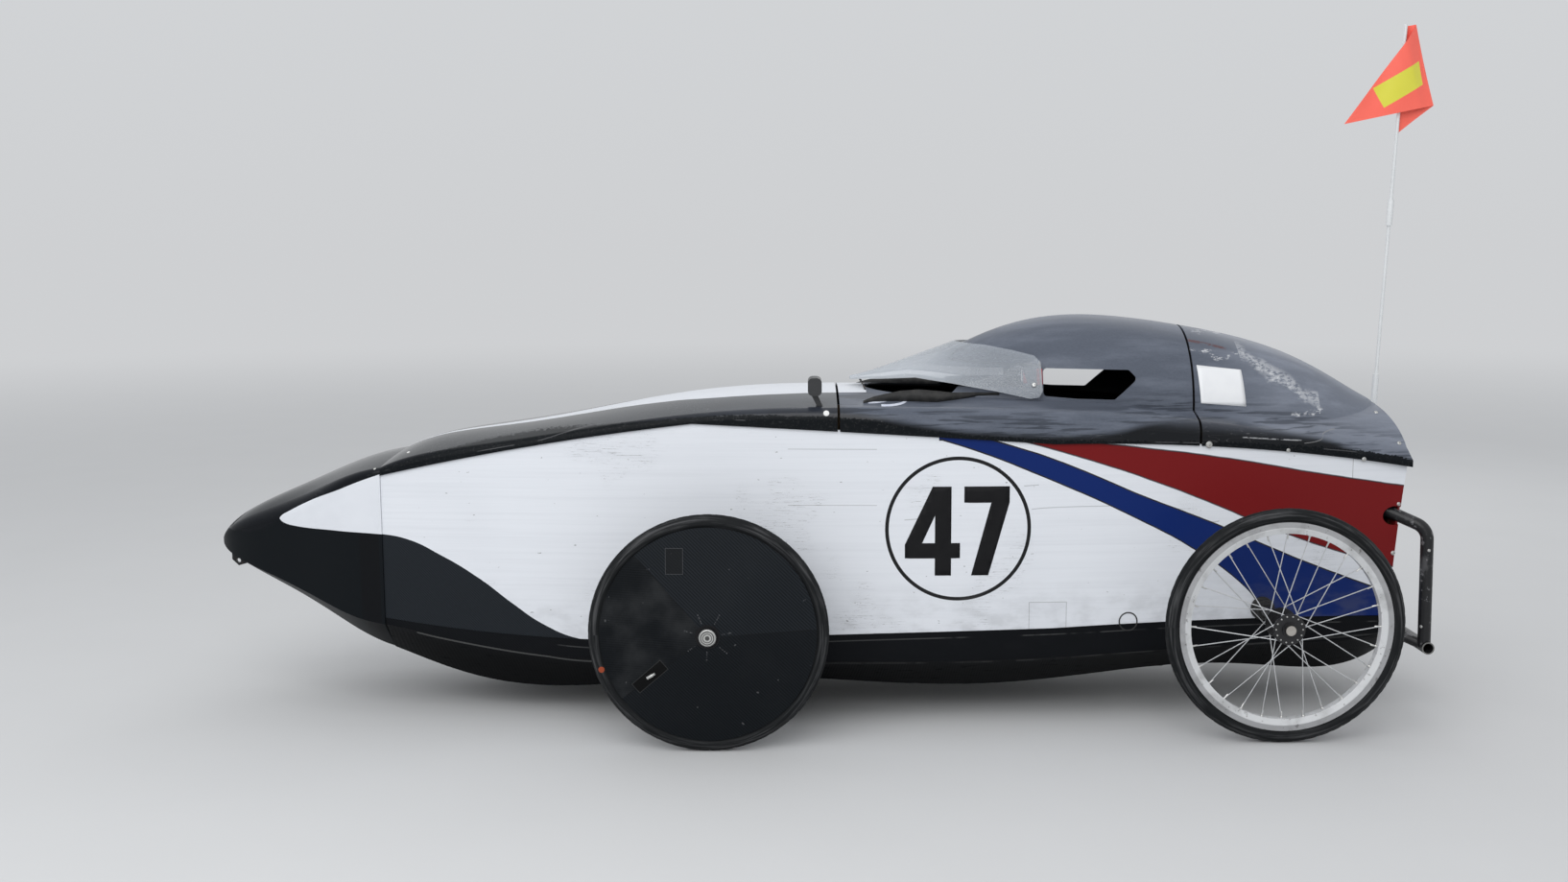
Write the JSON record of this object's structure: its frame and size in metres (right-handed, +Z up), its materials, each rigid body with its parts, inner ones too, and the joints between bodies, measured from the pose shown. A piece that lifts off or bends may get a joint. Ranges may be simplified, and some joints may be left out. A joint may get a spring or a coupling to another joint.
{
  "type": "four-wheel velomobile",
  "caption": "Enclosed recumbent pedal vehicle with slab sides, steered disc wheels outboard in front, laced rear wheels, hinged canopy and rear bumper frame.",
  "frame": {"origin": "on the ground below the middle of the overall length", "axes": "+X to the tail, +Y to the rider's right, +Z up"},
  "size_m": [2.62, 0.92, 1.4459],
  "materials": {
    "white_panel": "painted white boards",
    "black_gloss": "gloss black composite",
    "carbon": "lacquered woven carbon",
    "nose_paint": "white and black composite",
    "tyre": "black slick tyre",
    "rim_black": "black anodised rim",
    "rim_silver": "worn bare rim",
    "disc": "woven disc cover",
    "hub_silver": "turned hub",
    "spokes": "stainless spokes",
    "steel_black": "black painted tube",
    "steel": "machined steel",
    "rubber": "rubber boot",
    "clear": "clear sheet",
    "seat_shell": "laminated seat shell",
    "pad": "black foam pad",
    "plywood": "black-stained plywood",
    "mirror_body": "black mirror housing",
    "pole": "white fibreglass pole",
    "flag_cloth": "orange-red pennant"
  },
  "bodies": {
    "hull": {"nose_cone": "nose_paint", "nose_hook": "steel_black", "hood": "black_gloss", "rear_deck": "black_gloss", "belly_pan": "carbon", "transom": "white_panel", "bulkhead": "plywood", "side_panel_left": "white_panel", "side_panel_right": "white_panel", "seat": "seat_shell", "head_pad": "pad", "mirror": "mirror_body", "hinge_fixed": "steel", "front_beam": "steel_black", "rear_axle": "steel", "rear_boot_left": "rubber", "rear_boot_right": "rubber", "bumper": "steel_black", "skid_bar": "steel_black", "tiller_bearing": "steel", "flag_pole": "pole", "flag_socket": "steel", "flag": "flag_cloth"},
    "canopy_section": {"canopy": "black_gloss", "visor": "clear", "visor_bolts": "steel", "hinge_lid": "steel"},
    "knuckle_left": {"knuckle_left": "steel"},
    "knuckle_right": {"knuckle_right": "steel"},
    "track_rod": {"track_rod": "steel"},
    "tiller": {"tiller": "steel_black"},
    "front_wheel_left": {"front_tyre_left": "tyre", "front_rim_left": "rim_black", "front_disc_left": "disc", "front_hub_left": "hub_silver"},
    "rear_wheel_left": {"rear_tyre_left": "tyre", "rear_rim_left": "rim_silver", "rear_hub_left": "spokes"},
    "front_wheel_right": {"front_tyre_right": "tyre", "front_rim_right": "rim_black", "front_disc_right": "disc", "front_hub_right": "hub_silver"},
    "rear_wheel_right": {"rear_tyre_right": "tyre", "rear_rim_right": "rim_silver", "rear_hub_right": "spokes"}
  },
  "joints": [
    {"name": "canopy_hinge", "type": "hinge", "parent": "hull", "child": "canopy_section", "pos_m": [0.41, 0.277, 0.568], "axis": [-1, 0, 0], "range_deg": [0, 75]},
    {"name": "steer_left", "type": "hinge", "parent": "hull", "child": "knuckle_left", "pos_m": [-0.214, -0.345, 0.235], "axis": [0, 0, 1], "range_deg": [-25, 25]},
    {"name": "steer_right", "type": "hinge", "parent": "hull", "child": "knuckle_right", "pos_m": [-0.214, 0.345, 0.235], "axis": [0, 0, 1], "range_deg": [-25, 25]},
    {"name": "track_rod_pivot", "type": "hinge", "parent": "knuckle_left", "child": "track_rod", "pos_m": [-0.152, -0.345, 0.213], "axis": [0, 0, 1], "range_deg": [-25, 25]},
    {"name": "tiller_turn", "type": "hinge", "parent": "hull", "child": "tiller", "pos_m": [0.06, 0, 0.092], "axis": [0.2154, 0, 0.9765], "range_deg": [-37.5, 37.5]},
    {"name": "front_spin_left", "type": "hinge", "parent": "knuckle_left", "child": "front_wheel_left", "pos_m": [-0.214, -0.42, 0.235], "axis": [0, 1, 0], "continuous": true},
    {"name": "rear_spin_left", "type": "hinge", "parent": "hull", "child": "rear_wheel_left", "pos_m": [0.918, -0.37, 0.235], "axis": [0, 1, 0], "continuous": true},
    {"name": "front_spin_right", "type": "hinge", "parent": "knuckle_right", "child": "front_wheel_right", "pos_m": [-0.214, 0.42, 0.235], "axis": [0, 1, 0], "continuous": true},
    {"name": "rear_spin_right", "type": "hinge", "parent": "hull", "child": "rear_wheel_right", "pos_m": [0.918, 0.37, 0.235], "axis": [0, 1, 0], "continuous": true}
  ],
  "couplings": [
    {"joint": "steer_right", "follows": "steer_left", "ratio": 1},
    {"joint": "track_rod_pivot", "follows": "steer_left", "ratio": -1},
    {"joint": "tiller_turn", "follows": "steer_left", "ratio": 1.5}
  ]
}
